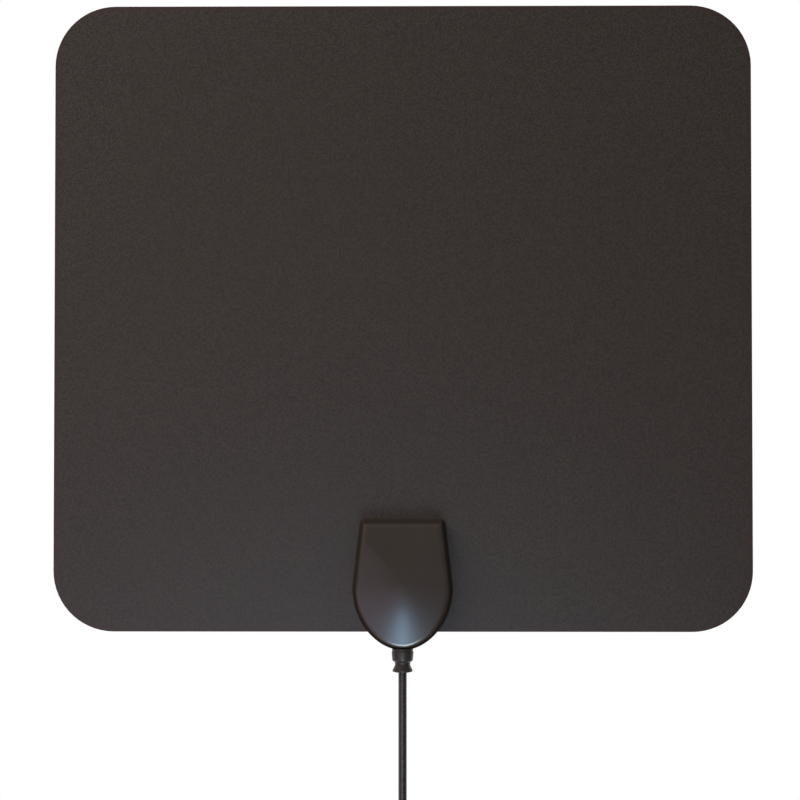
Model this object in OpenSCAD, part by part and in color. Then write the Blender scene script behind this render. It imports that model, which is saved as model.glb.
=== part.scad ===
// Flat indoor TV antenna: a laminated panel with foil radiators, a clamped housing with the
// matching board, and a coaxial lead that ends in a push-fit plug.
// X runs across the panel, Z up, and the front faces -Y. The wall is the plane y = 0,
// which the back cover rests on, and z = 0 is the panel's lower edge.

/* [Panel] */
// Width of the panel
panel_w = 334; // [260:1:420]
// Height of the panel
panel_h = 300; // [240:1:400]
// Radius of the panel's corners
panel_corner_r = 29; // [8:1:50]
// Thickness of each of the two films
film_t = 0.3; // [0.2:0.05:0.6]

/* [Foil radiators] */
// Thickness of the foil, which lies in a pocket of the back film
foil_t = 0.1; // [0.05:0.01:0.15]
// Distance from the foil to the panel's edge
foil_margin = 12; // [10:1:20]
// Gap between the two radiators on the centre line
feed_gap = 6; // [3:0.5:8]
// Number of slots that fold each radiator into a meander
slot_count = 4; // [2:1:6]
// Width of a slot
slot_w = 10; // [4:1:16]
// Foil left at the closed end of a slot
bridge_w = 22; // [12:1:40]

/* [Housing outline] */
// Width of the housing along its flat top
case_top_w = 41; // [38:0.5:46]
// Width of the housing at its widest
case_w = 48; // [46:0.5:56]
// Height of the housing's top above the panel's lower edge
case_top_z = 53.7; // [50:0.1:60]
// Height of the widest place above the panel's lower edge
case_belly_z = 20.1; // [18:0.1:24]
// How far the rounded end hangs below the panel
case_drop = 8.9; // [8.5:0.1:10]
// Fullness of the rounded end, 2 for an ellipse and less for a point
case_fullness = 1.9; // [1.7:0.05:2.3]
// Radius of the two top corners
case_corner_r = 2.6; // [2:0.1:5]

/* [Housing section] */
// Depth of the whole housing, from the wall to its crown
case_depth = 14; // [13.5:0.1:18]
// Depth of the back cover, behind the panel
back_depth = 2.2; // [2:0.1:3]
// How much lower the front face lies at the rounded end than at the crown
rim_drop = 2.6; // [0.5:0.1:3]
// Height of the crown, where the front face starts to fall away
crown_z = 24; // [15:1:35]
// How far the front cover's wall leans in towards the face
wall_draft = 1.5; // [0.5:0.1:2]
// Thickness of the covers' walls
wall_t = 1.6; // [1.2:0.1:2]
// Thickness of the back cover's floor
floor_t = 1.2; // [1:0.05:1.6]
// Radius of the edge round the front face
edge_r = 1.1; // [0.5:0.1:1.4]
// Chamfer round the back cover
back_chamfer = 0.7; // [0.3:0.1:1]

/* [Screws and eyelets] */
// Radius of a screw's shank
screw_r = 1.1; // [0.9:0.05:1.3]
// Length of a screw
screw_len = 9; // [6:0.5:10]
// Radius of a screw's countersunk head
screw_head_r = 2.1; // [1.8:0.1:2.4]
// Distance of the upper screws from the centre line
screw_top_x = 15.4; // [15:0.1:16]
// Height of the upper screws
screw_top_z = 46.8; // [45:0.1:48]
// Distance of the lower screws from the centre line
screw_low_x = 15; // [14:0.1:16]
// Height of the lower screws
screw_low_z = 8; // [7:0.1:9]
// Radius of the bosses that take the screws
boss_r = 2.7; // [2.4:0.1:3]
// Radius of an eyelet's shank
eyelet_r = 1.25; // [1:0.05:1.6]
// Distance of the eyelets from the centre line
eyelet_x = 7.5; // [6:0.1:9]
// Height of the eyelets
eyelet_z = 37.5; // [36:0.1:39]

/* [Board] */
// Width of the circuit board
board_w = 24; // [22:0.5:25]
// Height of the circuit board's lower edge
board_z = 14; // [13.5:0.5:16]
// Height of the circuit board itself
board_h = 28; // [27:0.5:29]
// Thickness of the circuit board
board_t = 1; // [0.8:0.1:1.6]
// Width of the ferrite core
core_w = 7.2; // [6.6:0.1:8]
// Length of the ferrite core along its two holes
core_len = 6; // [5:0.1:7]
// Depth of the ferrite core
core_d = 3.6; // [3.2:0.1:4.2]
// Radius of the core's two holes
core_hole_r = 0.85; // [0.8:0.05:0.9]
// Distance between the core's two holes
core_pitch = 3.4; // [3.2:0.1:3.8]
// Radius of the winding wire
wire_r = 0.18; // [0.12:0.01:0.2]
// Turns through each hole
wire_turns = 3; // [2:1:3]

/* [Cable] */
// Radius of the cable over its jacket
cable_r = 2; // [1.6:0.1:2.4]
// Radius of the white dielectric
core_r = 1.15; // [0.9:0.05:1.4]
// Radius of the centre conductor
conductor_r = 0.35; // [0.25:0.05:0.5]
// Depth of the cable's axis in front of the wall
cable_depth = 5.6; // [5.5:0.1:5.8]
// Radius of the middle of the coil's turns
coil_r = 24; // [22:1:28]
// Turns that lie beside each other across the coil's radius
coil_layers = 4; // [3:1:5]
// Turns that lie one in front of the other
coil_lanes = 5; // [4:1:6]
// Width of the tie along the coil
tie_w = 6; // [4:0.5:10]
// Thickness of the tie
tie_t = 1; // [0.5:0.1:1.5]

/* [Strain relief] */
// Radius of the boot's body
boot_r = 5; // [4.8:0.05:5.2]
// Length of the boot's body below its seat
boot_body_len = 5.6; // [4:0.1:8]
// Radius of the boot's waist
boot_waist_r = 3.6; // [3:0.1:4.2]
// Length of the boot's waist, with its two shoulders
boot_waist_len = 2.9; // [2.6:0.1:5]
// Length of the flare below the waist
boot_flare_len = 3.2; // [2.5:0.1:6]
// Radius of the flare at its end
boot_flare_r = 4.75; // [4.4:0.05:5]
// Radius of the neck that the covers hold
boot_neck_r = 2.9; // [2.8:0.05:3.1]
// Radius of the flange inside the housing
boot_flange_r = 3.8; // [3.5:0.1:3.9]
// Thickness of the flange
boot_flange_t = 1.8; // [1:0.1:2.2]

/* [Plug] */
// Outer radius of the plug's metal shell
shell_r = 4.75; // [4.5:0.05:5]
// Length of the shell outside the grip
shell_len = 9; // [7:0.5:10]
// Wall of the shell
shell_t = 0.5; // [0.4:0.05:0.7]
// Radius of the centre pin
pin_r = 1.18; // [1.15:0.01:1.2]
// Radius of the grip
grip_r = 5.9; // [5.6:0.1:6]
// Length of the grip without its nose
grip_len = 18; // [14:0.5:26]
// Length of the grip's nose
nose_len = 6; // [4:0.5:10]
// Number of finger grooves round the grip
groove_count = 5; // [2:1:6]

/* [Hidden] */
$fn = 72;

// Clearance of parts that slide together, how far a cut runs past a face, and colours
fit = 0.1;
past = 1;
charcoal = [0.23, 0.21, 0.2];
black_plastic = [0.13, 0.13, 0.135];
soft_black = [0.16, 0.155, 0.16];
foil_silver = [0.78, 0.79, 0.8];
copper = [0.72, 0.42, 0.24];
nickel = [0.7, 0.7, 0.68];

// Depths of the layers in front of the wall
foil_depth = back_depth + film_t - foil_t;
front_film_depth = back_depth + film_t;
panel_front = back_depth + 2 * film_t;
board_front = panel_front + board_t;

// Places of the screws and of the eyelets, across and up
screw_places = [for (s = [-1, 1]) each [[s * screw_top_x, screw_top_z], [s * screw_low_x, screw_low_z]]];
eyelet_places = [for (s = [-1, 1]) [s * eyelet_x, eyelet_z]];
screw_pass_r = screw_r + fit;
foil_keep_off = screw_head_r + 0.9;
eyelet_flange_r = eyelet_r + 1.1;
eyelet_flange_t = 0.35;
eyelet_wall = 0.5;

// Levels of the boot: inner end, flange, seat, end of body, end of waist, outer end
seat_z = 1.3 - case_drop;
block_top_z = seat_z + 2.8;
boot_top_z = block_top_z + boot_flange_t;
body_end_z = seat_z - boot_body_len;
waist_end_z = body_end_z - boot_waist_len;
boot_end_z = waist_end_z - boot_flare_len;
block_half_w = boot_neck_r + 3.6;

// Housing outline: the rounded end is a superellipse, and the sides run up to the top corners
end_h = case_belly_z + case_drop;
side_lean = atan((case_w - case_top_w) / 2 / (case_top_z - case_belly_z));
shoulder = atan(tan(side_lean) * end_h / (case_w / 2));
end_steps = 58;
corner_steps = 6;
outline_n = end_steps + 1 + 2 * (corner_steps + 1);
least_corner_r = 0.4;
crown_power = 1.5;
sink_power = 1.2;
fall_start_z = case_top_z - 8;
face_shares = [0.85, 0.65, 0.45, 0.25, 0.1];

function signed_power(v, e) = sign(v) * pow(abs(v), e);

function end_point(t, d) = [
    (case_w / 2 - d) * signed_power(sin(t), 2 / case_fullness),
    case_belly_z - (end_h - d) * signed_power(cos(t), 2 / case_fullness)
];

function corner_point(t, d) =
    let (r = max(case_corner_r - d, least_corner_r))
    [case_top_w / 2 - d - r + r * cos(t), case_top_z - d - r + r * sin(t)];

// The outline pulled in by d, counter-clockwise from the upper left
function case_outline(d) =
    let (
        end = [for (i = [0:end_steps]) end_point((90 + shoulder) * (2 * i / end_steps - 1), d)],
        corner = [
            for (i = [0:corner_steps]) corner_point(side_lean + (90 - side_lean) * i / corner_steps, d)
        ]
    )
    concat(end, corner, [for (i = [corner_steps:-1:0]) [-corner[i][0], corner[i][1]]]);

// How far the rim lies below the crown at each point of the outline
rim_sink = [
    for (p = case_outline(0))
        rim_drop * pow(max(0, (fall_start_z - p[1]) / (fall_start_z + case_drop)), sink_power)
];

// A level ring of the housing
function flat_ring(d, depth) = [for (p = case_outline(d)) [p[0], p[1], depth]];

// A ring of the front face: share 1 is the rim and 0 the crown, under is how far it lies inside
function face_ring(share, d, under) =
    let (o = case_outline(d))
    [
        for (i = [0:outline_n - 1])
            [
                share * o[i][0],
                crown_z + share * (o[i][1] - crown_z),
                case_depth - under - rim_sink[i] * pow(share, crown_power)
            ]
    ];

// Triangles between ring a and ring b of a stack of rings with n points each
function band_faces(a, b, n) = [
    for (i = [0:n - 1])
        let (j = (i + 1) % n)
        each [[a * n + i, b * n + i, b * n + j], [a * n + i, b * n + j, a * n + j]]
];

// Triangles from ring a to one point, seen from the end of the stack
function fan_faces(a, tip, n, turned = false) = [
    for (i = [0:n - 1])
        let (j = (i + 1) % n)
        turned ? [a * n + j, a * n + i, tip] : [a * n + i, tip, a * n + j]
];

// The front face's rounded edge, as rings from the wall up to the face
edge_angles = [0, 30, 60, 90];
outer_rings = concat(
    [flat_ring(0, panel_front)],
    [
        for (a = edge_angles)
            face_ring(1, wall_draft + edge_r * (1 - cos(a)), edge_r * (1 - sin(a)))
    ],
    [for (s = face_shares) face_ring(s, wall_draft + edge_r, 0)]
);
inner_rings = concat(
    [for (i = [len(face_shares) - 1:-1:0]) face_ring(face_shares[i], wall_draft + wall_t, wall_t)],
    [face_ring(1, wall_draft + wall_t, wall_t), flat_ring(wall_t, panel_front)]
);

function join(lists) = [for (l = lists) each l];

// Turns a plan drawing, X across, Y up and Z out of the wall, upright, d in front of the wall
module stand(d = 0) {
    rotate([90, 0, 0])
        translate([0, 0, d])
            children();
}

// A round tube along a path in the XZ plane or close to it
function path_heading(p, i) =
    let (
        a = p[max(i - 1, 0)],
        b = p[min(i + 1, len(p) - 1)]
    )
    (b - a) / norm(b - a);

function tube_ring(p, i, r, sides) =
    let (
        along = path_heading(p, i),
        across = cross(along, [0, 1, 0]) / norm(cross(along, [0, 1, 0])),
        over = cross(across, along)
    )
    [for (k = [0:sides - 1]) p[i] + r * (cos(360 * k / sides) * across + sin(360 * k / sides) * over)];

module tube(path, r, sides) {
    last = len(path) - 1;
    polyhedron(
        points = [for (i = [0:last]) each tube_ring(path, i, r, sides)],
        faces = concat(
            [[for (k = [0:sides - 1]) k]],
            [
                for (i = [0:last - 1], k = [0:sides - 1])
                    let (n = (k + 1) % sides)
                    each [
                        [i * sides + k, (i + 1) * sides + k, (i + 1) * sides + n],
                        [i * sides + k, (i + 1) * sides + n, i * sides + n]
                    ]
            ],
            [[for (k = [sides - 1:-1:0]) last * sides + k]]
        )
    );
}

// Panel

module rounded_panel(w, h, r) {
    translate([-w / 2 + r, 0])
        square([w - 2 * r, h]);
    translate([-w / 2, r])
        square([w, h - 2 * r]);
    for (x = [r - w / 2, w / 2 - r], y = [r, h - r])
        translate([x, y])
            circle(r);
}

// One film's outline, with the holes for the screws and the eyelets
module film_outline() {
    difference() {
        rounded_panel(panel_w, panel_h, panel_corner_r);
        for (p = screw_places)
            translate(p)
                circle(screw_pass_r);
        for (p = eyelet_places)
            translate(p)
                circle(eyelet_r);
    }
}

// The right-hand radiator: a half panel of foil, folded into a meander by slots from either side
foil_half_w = panel_w / 2 - foil_margin;
foil_h = panel_h - 2 * foil_margin;
band_w = (foil_h - slot_count * slot_w) / (slot_count + 1);
slot_len = foil_half_w - feed_gap / 2 - bridge_w;
foil_corner_r = max(panel_corner_r - foil_margin, 3);

module radiator() {
    difference() {
        intersection() {
            translate([0, foil_margin])
                rounded_panel(2 * foil_half_w, foil_h, foil_corner_r);
            translate([feed_gap / 2, 0])
                square([panel_w, panel_h]);
        }
        for (i = [1:slot_count])
            translate([
                i % 2 == 1 ? feed_gap / 2 - past : feed_gap / 2 + bridge_w,
                foil_margin + i * band_w + (i - 1) * slot_w
            ])
                square([slot_len + past, slot_w]);
        for (p = screw_places)
            translate(p)
                circle(foil_keep_off);
        for (p = eyelet_places)
            translate(p)
                circle(eyelet_r);
    }
}

module front_film() {
    color(charcoal)
        stand(front_film_depth)
            linear_extrude(film_t)
                film_outline();
}

module back_film() {
    color(charcoal)
        stand(back_depth)
            difference() {
                linear_extrude(film_t)
                    film_outline();
                for (side = [0, 1])
                    mirror([side, 0, 0])
                        translate([0, 0, film_t - foil_t])
                            linear_extrude(foil_t + past)
                                radiator();
            }
}

module left_element() {
    color(foil_silver)
        stand(foil_depth)
            linear_extrude(foil_t)
                mirror([1, 0])
                    radiator();
}

module right_element() {
    color(foil_silver)
        stand(foil_depth)
            linear_extrude(foil_t)
                radiator();
}

// Housing

// The front cover's drafted wall and crowned face, outside and inside in one skin
module cover_shell() {
    outer_n = len(outer_rings);
    inner_n = len(inner_rings);
    rings_n = outer_n + inner_n;
    tips = rings_n * outline_n;
    polyhedron(
        points = concat(
            join(outer_rings),
            join(inner_rings),
            [[0, crown_z, case_depth], [0, crown_z, case_depth - wall_t]]
        ),
        faces = concat(
            join([for (k = [0:outer_n - 2]) band_faces(k, k + 1, outline_n)]),
            fan_faces(outer_n - 1, tips, outline_n),
            fan_faces(outer_n, tips + 1, outline_n, true),
            join([for (k = [outer_n:rings_n - 2]) band_faces(k, k + 1, outline_n)]),
            band_faces(rings_n - 1, 0, outline_n)
        )
    );
}

// The room that the front cover's wall encloses, filled to halfway through its thickness
module cover_filling(from_depth) {
    rings = [
        flat_ring(wall_t / 2, from_depth),
        flat_ring(wall_t / 2, panel_front),
        face_ring(1, wall_draft + wall_t / 2, wall_t / 2),
        for (s = face_shares) face_ring(s, wall_draft + wall_t / 2, wall_t / 2)
    ];
    n = len(rings);
    polyhedron(
        points = concat(join(rings), [[0, crown_z, case_depth - wall_t / 2]]),
        faces = concat(
            [[for (i = [0:outline_n - 1]) i]],
            join([for (k = [0:n - 2]) band_faces(k, k + 1, outline_n)]),
            fan_faces(n - 1, n * outline_n, outline_n)
        )
    );
}

rib_x = board_w / 2 - 2;
rib_t = 1.2;
rib_z = board_z + 9;
rib_len = 9;

// Bosses, the two ribs that press on the board, and the block round the boot's neck
module cover_inside() {
    for (p = screw_places)
        translate([p[0], p[1], panel_front])
            cylinder(h = case_depth - panel_front, r = boss_r);
    for (x = [-rib_x, rib_x])
        translate([x - rib_t / 2, rib_z, board_front])
            cube([rib_t, rib_len, case_depth - board_front]);
    translate([-block_half_w, -case_drop, back_depth])
        cube([2 * block_half_w, block_top_z + case_drop, case_depth - back_depth]);
}

// Where the panel ends, the front cover's wall reaches back to the back cover
module cover_lip() {
    translate([0, 0, back_depth])
        linear_extrude(panel_front - back_depth)
            difference() {
                polygon(case_outline(0));
                polygon(case_outline(wall_t));
                translate([-case_w, -fit])
                    square([2 * case_w, 2 * case_top_z]);
            }
}

// A boot-sized round cut along the cable, in plan
module along_cable(r, z_low, z_high) {
    translate([0, z_high, cable_depth])
        rotate([90, 0, 0])
            cylinder(h = z_high - z_low, r = r);
}

module front_cover() {
    color(black_plastic)
        stand()
            difference() {
                union() {
                    cover_shell();
                    cover_lip();
                    intersection() {
                        cover_filling(back_depth);
                        cover_inside();
                    }
                }
                for (p = screw_places)
                    translate([p[0], p[1], panel_front - past])
                        cylinder(h = screw_len - panel_front + past + 0.5, r = screw_r);
                along_cable(boot_r + fit, -case_drop - past, seat_z);
                along_cable(boot_neck_r + fit, seat_z - past, block_top_z + past);
                translate([-boot_neck_r - fit, seat_z - past, back_depth - past])
                    cube([
                        2 * (boot_neck_r + fit),
                        block_top_z - seat_z + 2 * past,
                        cable_depth - back_depth + past
                    ]);
            }
}

// A cross recess in a screw's head
cross_w = 0.7;
cross_len = 2.4;
cross_depth = 0.8;
head_t = screw_head_r - screw_r;

module screw(p) {
    translate([p[0], p[1], 0])
        difference() {
            union() {
                cylinder(h = head_t, r1 = screw_head_r, r2 = screw_r);
                cylinder(h = screw_len, r = screw_r);
            }
            for (turn = [0, 90])
                rotate(turn)
                    translate([-cross_len / 2, -cross_w / 2, -past])
                        cube([cross_len, cross_w, cross_depth + past]);
        }
}

module cover_screws() {
    color(nickel)
        stand()
            for (p = screw_places)
                screw(p);
}

saddle_half_w = boot_neck_r;
saddle_depth = cable_depth - 1.2;

module back_cover() {
    rings = [
        flat_ring(back_chamfer, 0),
        flat_ring(0, back_chamfer),
        flat_ring(0, back_depth)
    ];
    color(black_plastic)
        stand()
            difference() {
                union() {
                    difference() {
                        polyhedron(
                            points = join(rings),
                            faces = concat(
                                [[for (i = [0:outline_n - 1]) i]],
                                band_faces(0, 1, outline_n),
                                band_faces(1, 2, outline_n),
                                [[for (i = [outline_n - 1:-1:0]) 2 * outline_n + i]]
                            )
                        );
                        translate([0, 0, floor_t])
                            linear_extrude(back_depth)
                                difference() {
                                    polygon(case_outline(wall_t));
                                    translate([-block_half_w, -case_drop])
                                        square([2 * block_half_w, block_top_z + case_drop]);
                                    for (p = screw_places)
                                        translate(p)
                                            circle(boss_r);
                                }
                    }
                    translate([-saddle_half_w, seat_z, floor_t])
                        cube([2 * saddle_half_w, block_top_z - seat_z, saddle_depth - floor_t]);
                }
                for (p = screw_places)
                    translate([p[0], p[1], 0]) {
                        translate([0, 0, -past])
                            cylinder(h = back_depth + 2 * past, r = screw_r);
                        cylinder(h = head_t, r1 = screw_head_r, r2 = screw_r);
                    }
                along_cable(boot_r + fit, -case_drop - past, seat_z);
                along_cable(boot_neck_r, seat_z - past, block_top_z + past);
                along_cable(boot_flange_r + fit, block_top_z, boot_top_z + past);
            }
}

// Board and what it carries

module circuit_board() {
    color([0.1, 0.32, 0.2])
        stand(panel_front)
            difference() {
                translate([-board_w / 2, board_z, 0])
                    cube([board_w, board_h, board_t]);
                for (p = eyelet_places)
                    translate([p[0], p[1], -past])
                        cylinder(h = board_t + 2 * past, r = eyelet_r);
            }
}

// A tubular rivet from behind the back film to the front of the board
module foil_eyelets() {
    reach = board_front - back_depth;
    color([0.78, 0.62, 0.3])
        stand(back_depth)
            for (p = eyelet_places)
                translate([p[0], p[1], 0])
                    rotate_extrude()
                        polygon([
                            [eyelet_r - eyelet_wall, -eyelet_flange_t],
                            [eyelet_flange_r, -eyelet_flange_t],
                            [eyelet_flange_r, 0],
                            [eyelet_r, 0],
                            [eyelet_r, reach],
                            [eyelet_flange_r, reach],
                            [eyelet_flange_r, reach + eyelet_flange_t],
                            [eyelet_r - eyelet_wall, reach + eyelet_flange_t]
                        ]);
}

core_z = board_z + 12;
core_mid_depth = board_front + core_d / 2;

module transformer_core() {
    core_edge_r = core_d / 2;
    color([0.2, 0.2, 0.22])
        translate([0, -core_mid_depth, core_z])
            linear_extrude(core_len)
                difference() {
                    square([core_w - core_d, core_d], center = true);
                    for (x = [-core_pitch / 2, core_pitch / 2])
                        translate([x, 0])
                            circle(core_hole_r);
                }
    color([0.2, 0.2, 0.22])
        translate([0, -core_mid_depth, core_z])
            linear_extrude(core_len)
                for (side = [0, 1])
                    mirror([side, 0])
                        difference() {
                            translate([core_w / 2 - core_edge_r, 0])
                                intersection() {
                                    circle(core_edge_r);
                                    translate([0, -core_d])
                                        square([core_d, 2 * core_d]);
                                }
                            translate([core_pitch / 2, 0])
                                circle(core_hole_r);
                        }
}

// A winding: its lead, its turns through the right-hand hole and round the core, and its other lead
wire_gap = 0.12;
wire_pitch = 2 * wire_r + 0.06;
lead_spread = 2.2;
lead_reach = 2.4;
wire_inner_x = core_pitch / 2;
wire_outer_x = core_w / 2 + wire_r + wire_gap;
wire_low_z = core_z - wire_r - wire_gap;
wire_high_z = core_z + core_len + wire_r + wire_gap;
wire_bend = 0.35;
pad_depth = board_front + wire_r;

function wire_depth(turn) = core_mid_depth + (turn - (wire_turns - 1) / 2) * wire_pitch;

winding_path = concat(
    [
        [wire_inner_x - lead_spread / 4, -pad_depth, core_z - lead_reach],
        [wire_inner_x, -pad_depth - 0.4, core_z - 1.3],
        [wire_inner_x, -wire_depth(0), wire_low_z + wire_bend]
    ],
    join([
        for (turn = [0:wire_turns - 1])
            let (
                y = -wire_depth(turn),
                next_y = turn == wire_turns - 1 ? y : -wire_depth(turn + 1)
            )
            concat(
                [
                    [wire_inner_x, y, wire_high_z - wire_bend],
                    [wire_inner_x + wire_bend / 2, y, wire_high_z - wire_bend / 4],
                    [wire_inner_x + wire_bend, y, wire_high_z],
                    [wire_outer_x - wire_bend, y, wire_high_z],
                    [wire_outer_x - wire_bend / 4, y, wire_high_z - wire_bend / 2],
                    [wire_outer_x, y, wire_high_z - 1.2 * wire_bend]
                ],
                turn == wire_turns - 1 ? [] : [
                    [wire_outer_x, next_y, wire_low_z + wire_bend],
                    [wire_outer_x - wire_bend / 4, next_y, wire_low_z + wire_bend / 4],
                    [wire_outer_x - wire_bend, next_y, wire_low_z],
                    [wire_inner_x + wire_bend, next_y, wire_low_z],
                    [wire_inner_x + wire_bend / 4, next_y, wire_low_z + wire_bend / 4],
                    [wire_inner_x, next_y, wire_low_z + wire_bend]
                ]
            )
    ]),
    [
        [wire_outer_x, -core_mid_depth - 0.1, core_z + 1],
        [wire_outer_x + 0.3, -pad_depth - 0.5, core_z - 0.8],
        [wire_outer_x + 0.2, -pad_depth, core_z - lead_reach]
    ]
);
wire_sides = 6;

module winding() {
    tube(winding_path, wire_r, wire_sides);
}

module primary_winding() {
    color(copper)
        winding();
}

module secondary_winding() {
    color([0.55, 0.2, 0.12])
        mirror([1, 0, 0])
            winding();
}

chip_places = [[-7.4, 21.6, 0], [-5.4, 17.4, 90], [9.6, 19.5, 90]];
chip_size = [2, 1.25, 0.8];

module chip_capacitors() {
    color([0.62, 0.5, 0.38])
        stand(board_front)
            for (c = chip_places)
                translate([c[0], c[1], 0])
                    rotate(c[2])
                        translate([-chip_size[0] / 2, -chip_size[1] / 2, 0])
                            cube(chip_size);
}

// Cable end in the housing

stripped_z = boot_top_z + 2.5;
core_end_z = stripped_z + 7;
conductor_path = [
    [0, -cable_depth, core_end_z],
    [0, -cable_depth, board_z - 1.5],
    [0, -(cable_depth + board_front + conductor_r) / 2, board_z + 0.6],
    [0, -board_front - conductor_r, board_z + 2.6],
    [0, -board_front - conductor_r, board_z + 4.4]
];
braid_r = 0.6;
braid_x = 5.5;
braid_path = [
    [core_r + braid_r + 0.05, -cable_depth, stripped_z],
    [core_r + braid_r + 0.05, -cable_depth, stripped_z + 1.5],
    [3.4, -cable_depth + 0.2, stripped_z + 6],
    [4.8, -(cable_depth + board_front + braid_r) / 2, board_z - 1],
    [braid_x, -board_front - braid_r - 0.1, board_z + 1.4],
    [braid_x, -board_front - braid_r, board_z + 4]
];
joint_places = [
    [0, board_z + 3.9, 1.5],
    [braid_x, board_z + 3.5, 1.7],
    for (s = [-1, 1]) each [
        [s * (wire_inner_x - lead_spread / 4), core_z - lead_reach, 0.8],
        [s * (wire_outer_x + 0.2), core_z - lead_reach, 0.8]
    ]
];

// A low dome of solder on the board
module solder_dome(p) {
    r = p[2];
    translate([p[0], p[1], 0])
        intersection() {
            translate([0, 0, -0.35 * r])
                sphere(1.08 * r, $fn = 32);
            translate([-2 * r, -2 * r, 0])
                cube(4 * r);
        }
}

module solder_joints() {
    color([0.75, 0.75, 0.76])
        stand(board_front)
            for (p = joint_places)
                solder_dome(p);
}

module centre_conductor() {
    color(copper)
        tube(conductor_path, conductor_r, 8);
}

module braid_tail() {
    color([0.75, 0.6, 0.5])
        tube(braid_path, braid_r, 8);
}

module cable_core() {
    color("white")
        translate([0, -cable_depth, stripped_z])
            cylinder(h = core_end_z - stripped_z, r = core_r);
}

module cable_end() {
    color(soft_black)
        translate([0, -cable_depth, boot_end_z])
            cylinder(h = stripped_z - boot_end_z, r = cable_r);
}

boot_round = 0.4;

module strain_relief() {
    color(soft_black)
        translate([0, -cable_depth, 0])
            rotate_extrude()
                polygon([
                    [cable_r, boot_top_z],
                    [boot_flange_r, boot_top_z],
                    [boot_flange_r, block_top_z],
                    [boot_neck_r, block_top_z],
                    [boot_neck_r, seat_z],
                    [boot_r, seat_z],
                    [boot_r - fit, body_end_z + boot_round],
                    [boot_r - fit - boot_round, body_end_z],
                    [boot_waist_r + boot_round, body_end_z - 0.9],
                    [boot_waist_r, body_end_z - 1.4],
                    [boot_waist_r, waist_end_z + boot_round],
                    [boot_waist_r + boot_round / 2, waist_end_z - boot_round / 2],
                    [boot_flare_r, boot_end_z + 2 * boot_round],
                    [boot_flare_r, boot_end_z + boot_round],
                    [boot_flare_r - boot_round, boot_end_z],
                    [cable_r, boot_end_z]
                ]);
}

// Lead, coil and plug

coil_z = -126;
coil_mid_depth = 11;
lane_pitch = 2 * cable_r;
coil_half_w = coil_layers * lane_pitch / 2;
coil_half_d = coil_lanes * lane_pitch / 2;
lane_r = coil_r + coil_half_w - cable_r;
lead_points = [
    [0, -5.6, -24],
    [0, -5.6, -30],
    [0, -5.6, -36],
    [0, -5.6, -43],
    [0, -5.6, -50],
    [0, -5.6, -57],
    [0, -5.6, -64],
    [0, -5.7, -71],
    [0, -5.8, -77],
    [0, -5.9, -82.9],
    [0.5, -6.1, -87],
    [2.1, -6.3, -90.9],
    [4.7, -6.6, -94.2],
    [8, -6.9, -96.8],
    [10.4, -7, -97.8]
];
tail_points = [
    [30, -19, -126],
    [30, -19, -131],
    [30, -19, -136],
    [30, -19, -141]
];
plug_x = 30;
plug_depth = 19;
plug_top_z = -146;
cable_sides = 10;

module cable_lead() {
    color(soft_black)
        tube(concat([[0, -cable_depth, boot_end_z]], lead_points), cable_r, cable_sides);
}

// The stored turns as one closed ring with rounded edges
module coil_section(grow) {
    w = coil_half_w + grow;
    d = coil_half_d + grow;
    r = cable_r + grow;
    translate([coil_r, 0]) {
        square([2 * (w - r), 2 * d], center = true);
        square([2 * w, 2 * (d - r)], center = true);
        for (x = [r - w, w - r], y = [r - d, d - r])
            translate([x, y])
                circle(r);
    }
}

module cable_coil() {
    color(soft_black)
        stand(coil_mid_depth)
            translate([0, coil_z, 0])
                rotate_extrude()
                    coil_section(0);
}

tie_angle = 50;
tie_sweep = tie_w / coil_r * 180 / PI;

module coil_tie() {
    color([0.09, 0.09, 0.095])
        stand(coil_mid_depth)
            translate([0, coil_z, 0])
                rotate(tie_angle - tie_sweep / 2)
                    rotate_extrude(angle = tie_sweep)
                        difference() {
                            coil_section(tie_t);
                            coil_section(0);
                        }
}

module cable_tail() {
    color(soft_black)
        tube(concat(tail_points, [[plug_x, -plug_depth, plug_top_z]]), cable_r, cable_sides);
}

// Levels of the plug below its top
nose_r = cable_r + 1.1;
grip_top = nose_len + 2.5;
grip_end = nose_len + grip_len;
shell_embed = 3;
shell_neck_r = shell_r - 0.2;
shell_step = 0.5;
shell_start = grip_end - shell_embed;
shell_end = grip_end + shell_len;
insulator_len = 5;
pin_short = 0.5;
groove_r = 0.5;
groove_pitch = (grip_len - 6) / (groove_count + 1);

// Draws a plug part hanging from the plug's top, from its profile
module hang_plug() {
    translate([plug_x, -plug_depth, plug_top_z])
        rotate_extrude()
            children();
}

module plug_grip() {
    color(soft_black)
        hang_plug()
            difference() {
                polygon([
                    [0, 0],
                    [nose_r - 0.3, 0],
                    [nose_r, -0.5],
                    [nose_r + 0.5, -nose_len],
                    [grip_r - 0.6, -grip_top],
                    [grip_r, -grip_top - 1.4],
                    [grip_r, 1 - grip_end],
                    [grip_r - 1, -grip_end],
                    [shell_neck_r, -grip_end],
                    [shell_neck_r, -shell_start],
                    [pin_r, -shell_start],
                    [pin_r, 1 - shell_start],
                    [0, 1 - shell_start]
                ]);
                for (i = [1:groove_count])
                    translate([grip_r + 0.1, -grip_top - 1.4 - i * groove_pitch])
                        circle(groove_r);
            }
}

module plug_shell() {
    color(nickel)
        hang_plug()
            polygon([
                [shell_neck_r, -shell_start],
                [shell_neck_r, -grip_end - shell_step],
                [shell_r, -grip_end - shell_step],
                [shell_r, 0.3 - shell_end],
                [shell_r - shell_t / 2, -shell_end],
                [shell_r - shell_t, 0.3 - shell_end],
                [shell_r - shell_t, -shell_start]
            ]);
}

module plug_insulator() {
    color("ivory")
        hang_plug()
            translate([pin_r, -shell_start - insulator_len])
                square([shell_r - shell_t - pin_r, insulator_len]);
}

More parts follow.
